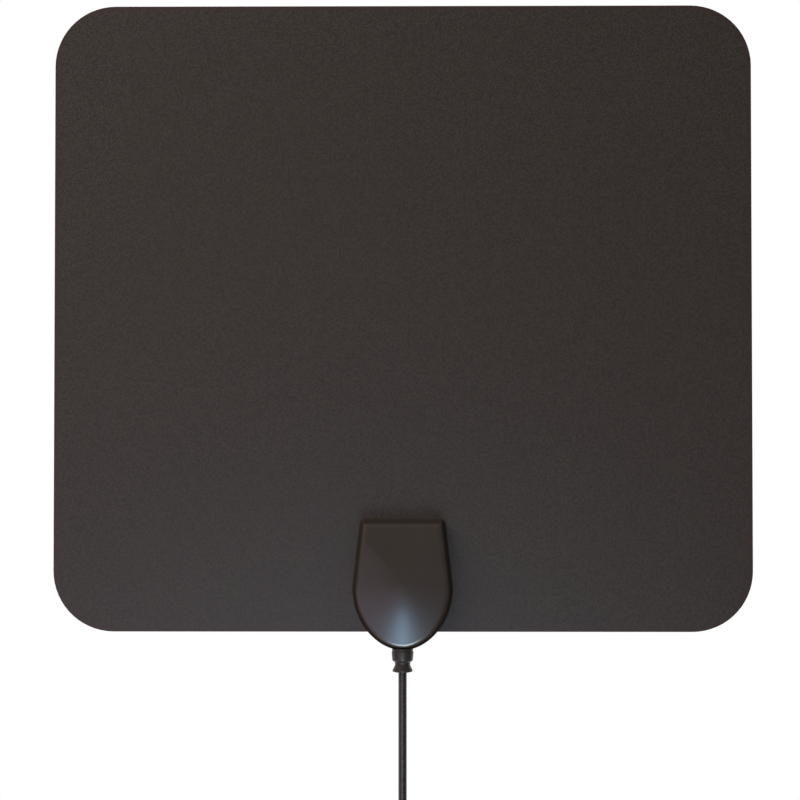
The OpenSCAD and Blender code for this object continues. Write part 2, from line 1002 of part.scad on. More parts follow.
module plug_pin() {
    color(nickel)
        hang_plug()
            polygon([
                [0, 1 - shell_start],
                [pin_r, 1 - shell_start],
                [pin_r, 1 + pin_short - shell_end],
                [pin_r / 2, pin_short + 0.2 - shell_end],
                [0, pin_short - shell_end]
            ]);
}

front_film();
back_film();
left_element();
right_element();
front_cover();
back_cover();
cover_screws();
circuit_board();
foil_eyelets();
transformer_core();
primary_winding();
secondary_winding();
chip_capacitors();
solder_joints();
strain_relief();
cable_end();
cable_core();
centre_conductor();
braid_tail();
cable_lead();
cable_coil();
cable_tail();
coil_tie();
plug_grip();
plug_shell();
plug_insulator();
plug_pin();
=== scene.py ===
"""Looks for the flat indoor TV antenna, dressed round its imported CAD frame.

X runs across the panel, Z up, and the front faces -Y. Lengths are in millimetres until a mesh or
a lamp is placed, which turns them into metres.
"""

from math import cos, radians, sin

import bmesh
import bpy
import numpy as np
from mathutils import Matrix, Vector


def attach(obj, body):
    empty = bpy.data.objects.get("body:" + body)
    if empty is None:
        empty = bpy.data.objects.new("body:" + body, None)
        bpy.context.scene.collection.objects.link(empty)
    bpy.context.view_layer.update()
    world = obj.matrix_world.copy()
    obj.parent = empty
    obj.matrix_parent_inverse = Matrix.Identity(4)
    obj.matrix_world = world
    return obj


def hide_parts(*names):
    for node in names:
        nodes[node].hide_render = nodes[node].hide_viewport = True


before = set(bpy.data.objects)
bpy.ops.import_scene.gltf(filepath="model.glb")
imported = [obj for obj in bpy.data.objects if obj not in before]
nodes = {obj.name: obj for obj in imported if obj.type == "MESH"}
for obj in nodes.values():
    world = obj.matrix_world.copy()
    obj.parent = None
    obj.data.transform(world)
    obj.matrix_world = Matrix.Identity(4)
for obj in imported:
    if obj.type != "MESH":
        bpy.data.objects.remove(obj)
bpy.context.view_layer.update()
scene = bpy.context.scene
MM = 0.001

# Sizes shared with the part's source
PANEL_W = 334
PANEL_H = 300
PANEL_CORNER_R = 29
PANEL_FRONT = 2.8
BACK_DEPTH = 2.2
CASE_TOP_W = 41
CASE_W = 48
CASE_TOP_Z = 53.7
CASE_BELLY_Z = 20.1
CASE_DROP = 8.9
CASE_FULLNESS = 1.9
CASE_CORNER_R = 2.6
CASE_DEPTH = 14
CROWN_Z = 24
RIM_DROP = 2.6
WALL_DRAFT = 1.5
WALL_T = 1.6
CABLE_R = 2
CABLE_DEPTH = 5.6
COIL_CENTRE = (0, -11, -126)
COIL_TURN_R = 24
PLUG_PLACE = (30, -19, -146)

# The camera, fitted to the panel's four edges in the photograph
CAMERA_TARGET = (-1.25, -2.8, 110.6)
CAMERA_DISTANCE = 1000
CAMERA_AZIMUTH = 0.6
CAMERA_ELEVATION = -1.42
CAMERA_LENS = 94.06


def turned_about(azimuth, elevation):
    """The unit vector from the object towards a viewer at that azimuth and elevation, in degrees."""
    a, e = radians(azimuth), radians(elevation)
    return Vector((sin(a) * cos(e), -cos(a) * cos(e), sin(e)))


def place_camera():
    """Puts the camera on its sight line, one metre in front of the panel."""
    data = bpy.data.cameras.new("camera")
    data.lens = CAMERA_LENS
    camera = bpy.data.objects.new("camera", data)
    scene.collection.objects.link(camera)
    back = turned_about(CAMERA_AZIMUTH, CAMERA_ELEVATION)
    camera.location = (Vector(CAMERA_TARGET) + CAMERA_DISTANCE * back) * MM
    camera.rotation_mode = "QUATERNION"
    camera.rotation_quaternion = (-back).to_track_quat("-Z", "Y")
    scene.camera = camera


place_camera()

# Materials


def linear(hex_code):
    """The linear colour, with alpha 1, of an sRGB hex value."""
    srgb = np.array([int(hex_code[i : i + 2], 16) for i in (0, 2, 4)]) / 255
    low = srgb / 12.92
    high = ((srgb + 0.055) / 1.055) ** 2.4
    return (*np.where(srgb <= 0.04045, low, high).tolist(), 1.0)


def add(tree, kind, inputs=None, **settings):
    """Adds one shader node. An input is a value, or the output socket that feeds it."""
    made = tree.nodes.new(kind)
    for name, value in settings.items():
        setattr(made, name, value)
    for name, value in (inputs or {}).items():
        if isinstance(value, bpy.types.NodeSocket):
            tree.links.new(value, made.inputs[name])
        else:
            made.inputs[name].default_value = value
    return made


def new_material(name):
    """An empty node material and its tree."""
    made = bpy.data.materials.new(name)
    made.use_nodes = True
    made.node_tree.nodes.clear()
    return made, made.node_tree


def grain(size_mm):
    """The scale at which a noise pattern's grains are that many millimetres apart."""
    return 1 / (size_mm * MM)


# Sockets of a colour Mix node
FACTOR = 0
COLOUR_A = 6
COLOUR_B = 7
COLOUR_OUT = 2


# The darker reddish band along the film's edge: how far from the panel's edge it starts, and where it is
# darkest
EDGE_BAND_START = 2.2
EDGE_BAND_FULL = 1.4


def embossed_film():
    """PET film calendered with a fine pebble grain: matt, faintly speckled, and darker reddish in a band
    along its edge.

    The rim follows the distance to a rounded rectangle: the length of the part of the point's
    offset that lies beyond the corner centres, less the corner radius.
    """
    made, tree = new_material("embossed_polyester_film")
    place = add(tree, "ShaderNodeTexCoord").outputs["Object"]
    # Real emboss is about 0.3 mm apart. It is drawn at 0.85 mm so that it shows at this distance.
    pebble = add(
        tree,
        "ShaderNodeTexNoise",
        {"Vector": place, "Scale": grain(0.85), "Detail": 3, "Roughness": 0.7},
    )
    # Rolling leaves soft clouds a few millimetres wide
    cloud = add(
        tree,
        "ShaderNodeTexNoise",
        {"Vector": place, "Scale": grain(4.5), "Detail": 2, "Roughness": 0.5},
    )
    speckle = add(
        tree,
        "ShaderNodeMapRange",
        {0: pebble.outputs[0], 1: 0.39, 2: 0.61, 3: 0.0, 4: 1.0},
    )
    film = add(
        tree,
        "ShaderNodeMix",
        {
            FACTOR: speckle.outputs[0],
            COLOUR_A: linear("272220"),
            COLOUR_B: linear("403b37"),
        },
        data_type="RGBA",
    )
    tone = add(
        tree,
        "ShaderNodeMapRange",
        {0: cloud.outputs[0], 1: 0.35, 2: 0.65, 3: 0.0, 4: 1.0},
    )
    blush = add(
        tree,
        "ShaderNodeMix",
        {
            FACTOR: tone.outputs[0],
            COLOUR_A: linear("352d31"),
            COLOUR_B: linear("35312a"),
        },
        data_type="RGBA",
    )
    clouded = add(
        tree,
        "ShaderNodeMix",
        {
            FACTOR: 0.3,
            COLOUR_A: film.outputs[COLOUR_OUT],
            COLOUR_B: blush.outputs[COLOUR_OUT],
        },
        data_type="RGBA",
    )
    middle = (0, 0, PANEL_H / 2 * MM)
    corner_centre = (
        (PANEL_W / 2 - PANEL_CORNER_R) * MM,
        0,
        (PANEL_H / 2 - PANEL_CORNER_R) * MM,
    )
    offset = add(
        tree, "ShaderNodeVectorMath", {0: place, 1: middle}, operation="SUBTRACT"
    )
    size = add(
        tree, "ShaderNodeVectorMath", {0: offset.outputs[0]}, operation="ABSOLUTE"
    )
    beyond = add(
        tree,
        "ShaderNodeVectorMath",
        {0: size.outputs[0], 1: corner_centre},
        operation="SUBTRACT",
    )
    outside = add(
        tree,
        "ShaderNodeVectorMath",
        {0: beyond.outputs[0], 1: (0, 0, 0)},
        operation="MAXIMUM",
    )
    level = add(
        tree,
        "ShaderNodeVectorMath",
        {0: outside.outputs[0], 1: (1, 0, 1)},
        operation="MULTIPLY",
    )
    reach = add(
        tree, "ShaderNodeVectorMath", {0: level.outputs[0]}, operation="LENGTH"
    )
    rim_start = (PANEL_CORNER_R - EDGE_BAND_START) * MM
    rim_full = (PANEL_CORNER_R - EDGE_BAND_FULL) * MM
    rim = add(
        tree,
        "ShaderNodeMapRange",
        {0: reach.outputs["Value"], 1: rim_start, 2: rim_full, 3: 0.0, 4: 0.8},
    )
    # The film turns darker and redder towards the panel's edge
    edge_banded = add(
        tree,
        "ShaderNodeMix",
        {
            FACTOR: rim.outputs[0],
            COLOUR_A: clouded.outputs[COLOUR_OUT],
            COLOUR_B: linear("392b2b"),
        },
        data_type="RGBA",
    )
    rough = add(
        tree,
        "ShaderNodeMapRange",
        {0: pebble.outputs[0], 1: 0.3, 2: 0.7, 3: 0.43, 4: 0.33},
    )
    relief = add(
        tree,
        "ShaderNodeBump",
        {"Height": pebble.outputs[0], "Strength": 0.6, "Distance": 0.12 * MM},
    )
    shader = add(
        tree,
        "ShaderNodeBsdfPrincipled",
        {
            "Base Color": edge_banded.outputs[COLOUR_OUT],
            "Roughness": rough.outputs[0],
            "IOR": 1.57,
            "Specular IOR Level": 0.42,
            "Normal": relief.outputs[0],
        },
    )
    add(tree, "ShaderNodeOutputMaterial", {"Surface": shader.outputs[0]})
    return made


def moulded_abs(name, dark, light, roughness, gloss):
    """ABS from a spark-eroded mould: black, its gloss set by how coarse the mould's sparks left it."""
    made, tree = new_material(name)
    place = add(tree, "ShaderNodeTexCoord").outputs["Object"]
    # Spark erosion leaves pits about 0.1 mm apart. They are drawn at 0.35 mm.
    pits = add(
        tree,
        "ShaderNodeTexNoise",
        {"Vector": place, "Scale": grain(0.35), "Detail": 2, "Roughness": 0.6},
    )
    flow = add(
        tree,
        "ShaderNodeTexNoise",
        {"Vector": place, "Scale": grain(9), "Detail": 1},
    )
    colour = add(
        tree,
        "ShaderNodeMix",
        {
            FACTOR: flow.outputs[0],
            COLOUR_A: linear(dark),
            COLOUR_B: linear(light),
        },
        data_type="RGBA",
    )
    rough = add(
        tree,
        "ShaderNodeMapRange",
        {0: pits.outputs[0], 1: 0.3, 2: 0.7, 3: roughness - 0.04, 4: roughness + 0.04},
    )
    relief = add(
        tree,
        "ShaderNodeBump",
        {"Height": pits.outputs[0], "Strength": 0.12, "Distance": 0.02 * MM},
    )
    shader = add(
        tree,
        "ShaderNodeBsdfPrincipled",
        {
            "Base Color": colour.outputs[COLOUR_OUT],
            "Roughness": rough.outputs[0],
            "IOR": 1.54,
            "Specular IOR Level": gloss,
            "Normal": relief.outputs[0],
        },
    )
    add(tree, "ShaderNodeOutputMaterial", {"Surface": shader.outputs[0]})
    return made


def soft_pvc(name, dark, light, roughness, gloss):
    """Flexible PVC, extruded or overmoulded: near black, smooth, with a waxy soft gloss."""
    made, tree = new_material(name)
    place = add(tree, "ShaderNodeTexCoord").outputs["Object"]
    # Handling leaves faint smears about 2 mm wide, and the skin has an orange peel of 0.3 mm
    smear = add(
        tree,
        "ShaderNodeTexNoise",
        {"Vector": place, "Scale": grain(2), "Detail": 2},
    )
    peel = add(
        tree,
        "ShaderNodeTexNoise",
        {"Vector": place, "Scale": grain(0.3), "Detail": 1},
    )
    colour = add(
        tree,
        "ShaderNodeMix",
        {
            FACTOR: smear.outputs[0],
            COLOUR_A: linear(dark),
            COLOUR_B: linear(light),
        },
        data_type="RGBA",
    )
    rough = add(
        tree,
        "ShaderNodeMapRange",
        {0: smear.outputs[0], 1: 0.3, 2: 0.7, 3: roughness - 0.04, 4: roughness + 0.04},
    )
    relief = add(
        tree,
        "ShaderNodeBump",
        {"Height": peel.outputs[0], "Strength": 0.15, "Distance": 0.02 * MM},
    )
    shader = add(
        tree,
        "ShaderNodeBsdfPrincipled",
        {
            "Base Color": colour.outputs[COLOUR_OUT],
            "Roughness": rough.outputs[0],
            "IOR": 1.53,
            "Specular IOR Level": gloss,
            "Normal": relief.outputs[0],
        },
    )
    add(tree, "ShaderNodeOutputMaterial", {"Surface": shader.outputs[0]})
    return made


def bright_metal(name, dark, light, roughness, grain_mm, stretch):
    """Plated, drawn or rolled metal: fine streaks of colour and gloss along the way it was worked."""
    made, tree = new_material(name)
    place = add(tree, "ShaderNodeTexCoord").outputs["Object"]
    along = add(tree, "ShaderNodeMapping", {"Vector": place, "Scale": stretch})
    streak = add(
        tree,
        "ShaderNodeTexNoise",
        {"Vector": along.outputs[0], "Scale": grain(grain_mm), "Detail": 3},
    )
    colour = add(
        tree,
        "ShaderNodeMix",
        {
            FACTOR: streak.outputs[0],
            COLOUR_A: linear(dark),
            COLOUR_B: linear(light),
        },
        data_type="RGBA",
    )
    rough = add(
        tree,
        "ShaderNodeMapRange",
        {0: streak.outputs[0], 1: 0.3, 2: 0.7, 3: roughness - 0.05, 4: roughness + 0.05},
    )
    relief = add(
        tree,
        "ShaderNodeBump",
        {"Height": streak.outputs[0], "Strength": 0.1, "Distance": 0.02 * MM},
    )
    shader = add(
        tree,
        "ShaderNodeBsdfPrincipled",
        {
            "Base Color": colour.outputs[COLOUR_OUT],
            "Metallic": 1.0,
            "Roughness": rough.outputs[0],
            "Normal": relief.outputs[0],
        },
    )
    add(tree, "ShaderNodeOutputMaterial", {"Surface": shader.outputs[0]})
    return made


def pressed_ceramic(name, dark, light, grain_mm, roughness):
    """Sintered or fired ceramic: pressed from powder, so dull, hard and finely speckled."""
    made, tree = new_material(name)
    place = add(tree, "ShaderNodeTexCoord").outputs["Object"]
    powder = add(
        tree,
        "ShaderNodeTexVoronoi",
        {"Vector": place, "Scale": grain(grain_mm)},
    )
    colour = add(
        tree,
        "ShaderNodeMix",
        {
            FACTOR: powder.outputs["Distance"],
            COLOUR_A: linear(dark),
            COLOUR_B: linear(light),
        },
        data_type="RGBA",
    )
    relief = add(
        tree,
        "ShaderNodeBump",
        {"Height": powder.outputs["Distance"], "Strength": 0.3, "Distance": 0.02 * MM},
    )
    shader = add(
        tree,
        "ShaderNodeBsdfPrincipled",
        {
            "Base Color": colour.outputs[COLOUR_OUT],
            "Roughness": roughness,
            "IOR": 1.6,
            "Normal": relief.outputs[0],
        },
    )
    add(tree, "ShaderNodeOutputMaterial", {"Surface": shader.outputs[0]})
    return made


def masked_board():
    """Glass-epoxy board under green solder mask: glossy, with copper ground hatching showing through."""
    made, tree = new_material("solder_masked_glass_epoxy")
    place = add(tree, "ShaderNodeTexCoord").outputs["Object"]
    # Ground hatching of slanting tracks 1.6 mm wide and 3.6 mm apart: a Wave node's diagonal bands lie
    # 0.444 of its unit apart in the board's plane
    hatch = add(
        tree,
        "ShaderNodeTexWave",
        {"Vector": place, "Scale": grain(8.19), "Distortion": 0.0},
        wave_type="BANDS",
        bands_direction="DIAGONAL",
    )
    weave = add(
        tree,
        "ShaderNodeTexNoise",
        {"Vector": place, "Scale": grain(0.4), "Detail": 1},
    )
    track = add(
        tree,
        "ShaderNodeMapRange",
        {0: hatch.outputs["Fac"], 1: 0.55, 2: 0.65, 3: 0.0, 4: 1.0},
    )
    colour = add(
        tree,
        "ShaderNodeMix",
        {
            FACTOR: track.outputs[0],
            COLOUR_A: linear("0f4a26"),
            COLOUR_B: linear("1f6b38"),
        },
        data_type="RGBA",
    )
    rough = add(
        tree,
        "ShaderNodeMapRange",
        {0: weave.outputs[0], 1: 0.3, 2: 0.7, 3: 0.18, 4: 0.28},
    )
    relief = add(
        tree,
        "ShaderNodeBump",
        {"Height": track.outputs[0], "Strength": 0.3, "Distance": 0.03 * MM},
    )
    shader = add(
        tree,
        "ShaderNodeBsdfPrincipled",
        {
            "Base Color": colour.outputs[COLOUR_OUT],
            "Roughness": rough.outputs[0],
            "IOR": 1.5,
            "Normal": relief.outputs[0],
        },
    )
    add(tree, "ShaderNodeOutputMaterial", {"Surface": shader.outputs[0]})
    return made


YARN_PITCH = 0.6
# A Wave node draws about this many straight bands in one unit
WAVE_BANDS = 3.14


def woven_strap():
    """Woven nylon hook-and-loop tape: crossing yarns 0.6 mm apart, dull, with a light fuzz.

    The pattern reads the strap's own map, whose unit is a millimetre along and across it.
    """
    made, tree = new_material("woven_nylon_tape")
    place = add(tree, "ShaderNodeTexCoord").outputs["UV"]
    warp = add(
        tree,
        "ShaderNodeTexWave",
        {"Vector": place, "Scale": 1 / (YARN_PITCH * WAVE_BANDS), "Distortion": 0.4},
        bands_direction="X",
    )
    weft = add(
        tree,
        "ShaderNodeTexWave",
        {"Vector": place, "Scale": 1 / (YARN_PITCH * WAVE_BANDS), "Distortion": 0.4},
        bands_direction="Y",
    )
    crossing = add(
        tree,
        "ShaderNodeMath",
        {0: warp.outputs["Fac"], 1: weft.outputs["Fac"]},
        operation="MULTIPLY",
    )
    colour = add(
        tree,
        "ShaderNodeMix",
        {
            FACTOR: crossing.outputs[0],
            COLOUR_A: linear("121213"),
            COLOUR_B: linear("262628"),
        },
        data_type="RGBA",
    )
    relief = add(
        tree,
        "ShaderNodeBump",
        {"Height": crossing.outputs[0], "Strength": 0.7, "Distance": 0.15 * MM},
    )
    shader = add(
        tree,
        "ShaderNodeBsdfPrincipled",
        {
            "Base Color": colour.outputs[COLOUR_OUT],
            "Roughness": 0.85,
            "IOR": 1.5,
            "Sheen Weight": 0.3,
            "Sheen Roughness": 0.5,
            "Normal": relief.outputs[0],
        },
    )
    add(tree, "ShaderNodeOutputMaterial", {"Surface": shader.outputs[0]})
    return made


def extruded_polyethylene():
    """Foamed white polyethylene round the conductor: waxy, slightly see-through, with a fine skin."""
    made, tree = new_material("foamed_polyethylene")
    place = add(tree, "ShaderNodeTexCoord").outputs["Object"]
    cells = add(
        tree,
        "ShaderNodeTexNoise",
        {"Vector": place, "Scale": grain(0.4), "Detail": 2},
    )
    colour = add(
        tree,
        "ShaderNodeMix",
        {
            FACTOR: cells.outputs[0],
            COLOUR_A: linear("e2dfd6"),
            COLOUR_B: linear("efede6"),
        },
        data_type="RGBA",
    )
    relief = add(
        tree,
        "ShaderNodeBump",
        {"Height": cells.outputs[0], "Strength": 0.2, "Distance": 0.02 * MM},
    )
    shader = add(
        tree,
        "ShaderNodeBsdfPrincipled",
        {
            "Base Color": colour.outputs[COLOUR_OUT],
            "Roughness": 0.45,
            "IOR": 1.51,
            "Subsurface Weight": 0.2,
            "Subsurface Scale": 0.5 * MM,
            "Normal": relief.outputs[0],
        },
    )
    add(tree, "ShaderNodeOutputMaterial", {"Surface": shader.outputs[0]})
    return made


film = embossed_film()
# The face comes from a fine mould, so it has a soft gloss, and the walls from a coarse one. The walls'
# darker colour is painted shade, standing in for the shade that falls on them.
case_plastic = moulded_abs("satin_moulded_abs", "342f2b", "3b3632", 0.2, 0.5)
shaded_wall_abs = moulded_abs("coarse_abs_with_painted_shade", "2c2724", "322c29", 0.8, 0.0)
jacket = soft_pvc("extruded_pvc_jacket", "2a2624", "302b29", 0.3, 0.9)
boot_pvc = soft_pvc("overmoulded_pvc", "2d2929", "332f2f", 0.42, 0.4)
# Rolled foil shines in streaks along the roll, which is across the panel
foil = bright_metal("rolled_aluminium_foil", "c4c6ca", "d8d9dc", 0.3, 0.8, (0.05, 1, 1))
# Zinc plate over steel is grey, slightly blue and semi-bright
screw_steel = bright_metal("zinc_plated_steel", "8a8c90", "a9abb0", 0.32, 0.3, (1, 1, 1))
brass = bright_metal("stamped_brass", "b9923f", "cfae62", 0.28, 0.3, (1, 1, 1))
# Enamelled wire is drawn, so its streaks are short and its lacquer warms the copper
copper = bright_metal("enamelled_copper_wire", "a85f34", "c47b48", 0.25, 0.2, (1, 1, 1))
# Solder freezes bright with a faint frosting
solder = bright_metal("tin_solder", "b4b5b8", "cfd0d2", 0.22, 0.5, (1, 1, 1))
# Nickel plate over turned brass: warm white, with the lathe's fine rings running round it
nickel = bright_metal("nickel_plated_brass", "b1aea6", "c9c6be", 0.2, 0.25, (0.2, 0.2, 3))
ferrite = pressed_ceramic("sintered_ferrite", "1d1d20", "2a2a2e", 0.15, 0.6)
chip_ceramic = pressed_ceramic("fired_chip_ceramic", "8f7454", "a98c6a", 0.1, 0.4)
board = masked_board()
tape = woven_strap()
polyethylene = extruded_polyethylene()

# Meshes

MERGE_DISTANCE = 0.002
SHARP_ANGLE = 35


def grid_faces(rows, columns, rows_close=False, columns_close=True):
    """Quads between neighbouring rows and columns of a grid of points, as one array."""
    r = np.arange(rows if rows_close else rows - 1)[:, None]
    c = np.arange(columns if columns_close else columns - 1)[None, :]
    below, right = (r + 1) % rows, (c + 1) % columns
    corners = [r * columns + c, r * columns + right, below * columns + right, below * columns + c]
    return np.stack([np.broadcast_to(k, (r.size, c.size)) for k in corners], -1).reshape(-1, 4)


def join_grids(*parts):
    """Several (points, faces) pairs as one, each one's faces counted on from the points before it."""
    starts = np.cumsum([0] + [len(points) for points, _ in parts[:-1]])
    points = np.concatenate([points for points, _ in parts])
    return points, np.concatenate([faces + start for (_, faces), start in zip(parts, starts)])


def finish_mesh(mesh, sharp_angle):
    """Merges the points that meet, closes the poles, turns the normals outwards and shades the mesh."""
    shape = bmesh.new()
    shape.from_mesh(mesh)
    bmesh.ops.remove_doubles(shape, verts=shape.verts, dist=MERGE_DISTANCE * MM)
    bmesh.ops.recalc_face_normals(shape, faces=shape.faces)
    shape.to_mesh(mesh)
    shape.free()
    mesh.polygons.foreach_set("use_smooth", np.ones(len(mesh.polygons), bool))
    mesh.set_sharp_from_angle(angle=radians(sharp_angle))


def new_piece(name, points, faces, finish, slot, stands_for=(), uv=None):
    """A mesh piece from points in millimetres, riding on the antenna's one body. Its map, where it
    has one, gives each point a place in the material's own plane."""
    mesh = bpy.data.meshes.new(name)
    mesh.from_pydata((np.asarray(points, float).reshape(-1, 3) * MM).tolist(), [], faces.tolist())
    if uv is not None:
        corners = np.empty(len(mesh.loops), int)
        mesh.loops.foreach_get("vertex_index", corners)
        mesh.uv_layers.new(name="map").data.foreach_set("uv", uv[corners].astype(float).ravel())
    finish_mesh(mesh, SHARP_ANGLE)
    mesh.materials.append(finish)
    piece = bpy.data.objects.new(name, mesh)
    scene.collection.objects.link(piece)
    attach(piece, "root")
    if stands_for:
        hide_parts(*stands_for)
    return piece


def filleted(corners, steps=5):
    """A profile with its corners rounded: each is (radius, height, fillet), and its fillet is a curve
    from the point that far along the edge before it to the point that far along the edge after it."""
    points = np.array([c[:2] for c in corners], float)
    fillets = np.array([c[2] for c in corners], float)
    before = np.roll(points, 1, 0) - points
    after = np.roll(points, -1, 0) - points
    before /= np.linalg.norm(before, axis=1)[:, None]
    after /= np.linalg.norm(after, axis=1)[:, None]
    t = np.linspace(0, 1, steps)[None, :, None]
    start = (points + fillets[:, None] * before)[:, None]
    end = (points + fillets[:, None] * after)[:, None]
    curve = (1 - t) ** 2 * start + 2 * t * (1 - t) * points[:, None] + t**2 * end
    return curve.reshape(-1, 2)


def spun(profile, centre, sides=72, closed=False):
    """A profile of (radius, height) points spun round the upright line through centre."""
    turn = np.linspace(0, 2 * np.pi, sides, endpoint=False)
    r, z = profile[:, :1], profile[:, 1:]
    points = np.stack([r * np.cos(turn), r * np.sin(turn), z + 0 * turn], -1) + np.array(centre)
    return points.reshape(-1, 3), grid_faces(len(profile), sides, rows_close=closed)


# Cable: one length of coaxial lead from the boot through its stored coil to the plug
LEAD_POINTS = [
    (0, -5.6, -19.3),
    (0, -5.6, -24),
    (0, -5.6, -30),
    (0, -5.6, -36),
    (0, -5.6, -43),
    (0, -5.6, -50),
    (0, -5.6, -57),
    (0, -5.6, -64),
    (0, -5.7, -71),
    (0, -5.8, -77),
    (0, -5.9, -82.9),
    (0.5, -6.1, -87),
    (2.1, -6.3, -90.9),
    (4.7, -6.6, -94.2),
    (8, -6.9, -96.8),
]
TAIL_POINTS = [(30, -19, -131), (30, -19, -136), (30, -19, -141), (30, -19, -146)]
# Layer from the middle outwards and lane from the back forwards, for each turn as it was wound
TURN_PLACES = [
    (4, 2),
    (4, 1),
    (3, 1),
    (3, 2),
    (2, 2),
    (2, 1),
    (1, 1),
    (1, 2),
    (1, 3),
    (2, 3),
    (3, 3),
    (4, 3),
    (4, 4),
    (3, 4),
    (2, 4),
    (1, 4),
    (1, 5),
    (2, 5),
    (3, 5),
    (4, 5),
]
FIRST_LAYER_R = 18
LANE_PITCH = 4
FIRST_LANE_DEPTH = 3
# Degrees past 12 o'clock at which the lead joins its first turn and the tail leaves its last
MERGE_ANGLE = 20.35
LEAVE_ANGLE = 90
# Degrees before and after 12 o'clock over which a turn changes its place
CROSSOVER_HALF = 28
POINTS_A_TURN = 60
# In metres, as the cord's row wants it
CABLE_SIDES = 20
CAP_STEP = 0.01


def smoothstep(t):
    """0 below 0, 1 above 1, and an S between them, three t squared less two t cubed."""
    t = np.clip(t, 0, 1)
    return t * t * (3 - 2 * t)


def coil_points():
    """The stored turns: round the coil's centre clockwise from 12 o'clock as seen from the front,
    each at its own radius and depth, which change over smoothly as the cable passes 12 o'clock."""
    turns = np.array(TURN_PLACES, float)
    radii = FIRST_LAYER_R + LANE_PITCH * (turns[:, 0] - 1)
    depths = FIRST_LANE_DEPTH + LANE_PITCH * (turns[:, 1] - 1)
    last_angle = 360 * (len(turns) - 1) + LEAVE_ANGLE
    angle = np.linspace(MERGE_ANGLE, last_angle, POINTS_A_TURN * len(turns))
    crossing = (angle + CROSSOVER_HALF) % 360 / (2 * CROSSOVER_HALF)
    coming = np.floor((angle + CROSSOVER_HALF) / 360).astype(int)
    leaving = np.clip(coming - 1, 0, None)
    share = smoothstep(crossing)
    r = radii[leaving] + (radii[coming] - radii[leaving]) * share
    depth = depths[leaving] + (depths[coming] - depths[leaving]) * share
    turn = np.radians(angle)
    return np.stack([r * np.sin(turn), -depth, COIL_CENTRE[2] + r * np.cos(turn)], 1)


def tube(path, radius, sides):
    """A round tube: at each point of the path, a ring across its heading. The first and last rings
    have no size, so they close the ends."""
    heading = np.gradient(path, axis=0)
    heading /= np.linalg.norm(heading, axis=1)[:, None]
    across = np.cross(heading, (0, 1, 0))
    across /= np.linalg.norm(across, axis=1)[:, None]
    over = np.cross(across, heading)
    turn = np.linspace(0, 2 * np.pi, sides, endpoint=False)[None, :, None]
    radii = np.full((len(path), 1, 1), float(radius))
    radii[[0, -1]] = 0
    ring = radii * (np.cos(turn) * across[:, None] + np.sin(turn) * over[:, None])
    points = path[:, None] + ring
    return points.reshape(-1, 3), grid_faces(len(path), sides)


cable_line = np.concatenate([LEAD_POINTS, coil_points(), TAIL_POINTS])
# Each end is closed by a point just beyond its last ring
tube_line = np.concatenate([cable_line[:1], cable_line, cable_line[-1:]])
tube_line[0] += (0, 0, CAP_STEP)
tube_line[-1] -= (0, 0, CAP_STEP)
cable_points, cable_faces = tube(tube_line, CABLE_R, CABLE_SIDES)
cable = new_piece(
    "coaxial_cable",
    cable_points,
    cable_faces,
    jacket,
    "cable_jacket",
    ["cable_lead", "cable_coil", "cable_tail"],
)

# Coil tie: a strap wound once round the coil's section, with its end lapped over its start
TIE_ANGLE = 50
TIE_W = 6
STRAP_T = 0.85
STRAP_LAP = 13
STRAP_GAP = 0.1
STRAP_END = 0.01
STRAP_STEPS = 170
STRAP_SIDES = 28
STRAP_FULLNESS = 6
LAP_GAP = 0.05
LAP_RISE = 6
SECTION_HALF_W = 8
SECTION_HALF_D = 10


def section_path(clearance, distances):
    """Points that far along the coil's rounded section, its corners round the outer cables, from the
    middle of its front face outwards. Also the outward direction at each."""
    r = CABLE_R + clearance
    flat_w = 2 * (SECTION_HALF_W - CABLE_R)
    flat_d = 2 * (SECTION_HALF_D - CABLE_R)
    bend = r * np.pi / 2
    lengths = np.array([flat_w / 2, bend, flat_d, bend, flat_w, bend, flat_d, bend, flat_w / 2])
    ends = np.concatenate([[0], np.cumsum(lengths)])
    s = np.mod(distances, ends[-1])
    leg = np.clip(np.searchsorted(ends, s, side="right") - 1, 0, len(lengths) - 1)
    along = s - ends[leg]
    # Each leg: where it starts, the way it heads, and the centre of its bend
    w, d = SECTION_HALF_W - CABLE_R, SECTION_HALF_D - CABLE_R
    first_half = [(0, -d - r), (w, -d), (w + r, -d), (w, d), (w, d + r)]
    second_half = [(-w, d), (-w - r, d), (-w, -d), (-w, -d - r)]
    start = np.array(first_half + second_half)
    angle0 = np.radians([-90, -90, 0, 0, 90, 90, 180, 180, 270])
    straight = leg % 2 == 0
    heading = np.stack([-np.sin(angle0), np.cos(angle0)], 1)[leg]
    angle = angle0[leg] + np.where(straight, 0, along / r)
    out = np.stack([np.cos(angle), np.sin(angle)], 1)
    point = start[leg] + np.where(straight[:, None], along[:, None] * heading, r * out)
    return point, out, ends[-1]


